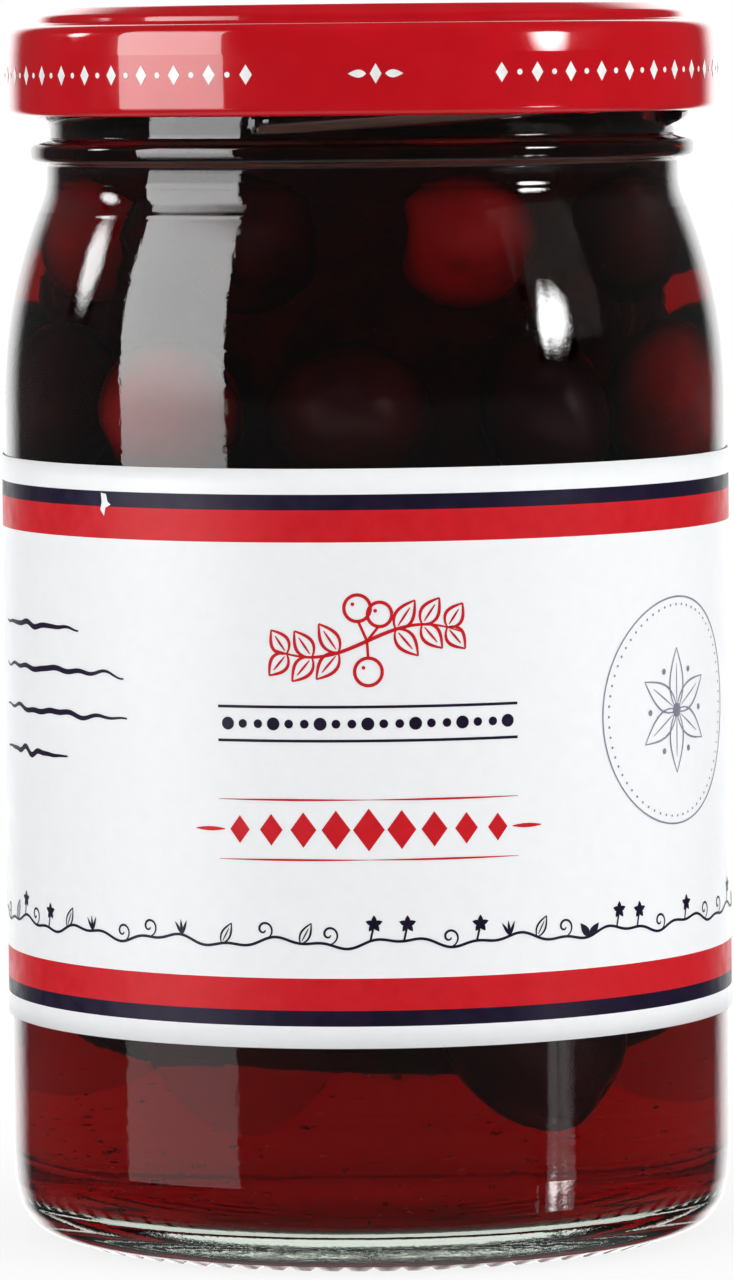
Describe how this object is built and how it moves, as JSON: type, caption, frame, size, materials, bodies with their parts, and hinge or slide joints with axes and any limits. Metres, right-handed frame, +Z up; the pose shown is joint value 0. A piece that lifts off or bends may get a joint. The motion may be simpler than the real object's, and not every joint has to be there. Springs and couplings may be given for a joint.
{
  "type": "preserve jar with twist-off lug lid",
  "caption": "Round glass preserve jar with a twist-off lug lid, a wrapped paper label, and whole fruit in dark red syrup.",
  "frame": {"origin": "centre of the circle that the base stands on, on the surface under the jar", "axes": "+Z up along the jar's axis, -Y towards the middle of the label, +X to the right of someone who reads the label"},
  "size_m": [0.0712, 0.071, 0.1201],
  "materials": {
    "glass": "clear flint glass, polished by its mould, with fine seams",
    "lid_lacquer": "glossy red lacquer on tinplate, pale lacquer inside",
    "lid_compound": "satin off-white sealing compound",
    "label_paper": "smooth coated paper with printed bands",
    "syrup": "clear dark red liquid",
    "cherry": "wet smooth skin",
    "plum": "wet smooth skin",
    "strawberry": "wet skin with seeds",
    "grape": "wet smooth skin"
  },
  "bodies": {
    "jar": {"glass_jar": "glass", "label": "label_paper", "syrup": "syrup", "cherry_1": "cherry", "cherry_2": "cherry", "cherry_3": "cherry", "cherry_4": "cherry", "cherry_5": "cherry", "cherry_6": "cherry", "cherry_7": "cherry", "cherry_8": "cherry", "cherry_9": "cherry", "cherry_10": "cherry", "cherry_11": "cherry", "cherry_12": "cherry", "cherry_13": "cherry", "cherry_14": "cherry", "cherry_15": "cherry", "cherry_16": "cherry", "cherry_17": "cherry", "grape_1": "grape", "grape_2": "grape", "grape_3": "grape", "grape_4": "grape", "grape_5": "grape", "grape_6": "grape", "grape_7": "grape", "grape_8": "grape", "plum_1": "plum", "plum_2": "plum", "plum_3": "plum", "plum_4": "plum", "strawberry_1": "strawberry", "strawberry_2": "strawberry", "strawberry_3": "strawberry", "strawberry_4": "strawberry", "strawberry_5": "strawberry", "strawberry_6": "strawberry", "strawberry_7": "strawberry", "strawberry_8": "strawberry"},
    "lid_lift": {"sealing_ring": "lid_compound"},
    "lid": {"lid_shell": "lid_lacquer"}
  },
  "joints": [
    {"name": "lid_rise", "type": "slide", "parent": "jar", "child": "lid_lift", "axis": [0, 0, 1], "range_m": [0, 0.018]},
    {"name": "lid_turn", "type": "hinge", "parent": "lid_lift", "child": "lid", "pos_m": [0, 0, 0.11], "axis": [0, 0, 1], "range_deg": [0, 540]}
  ],
  "couplings": [
    {"joint": "lid_rise", "follows": "lid_turn", "m_per_rad": 0.0019099}
  ]
}
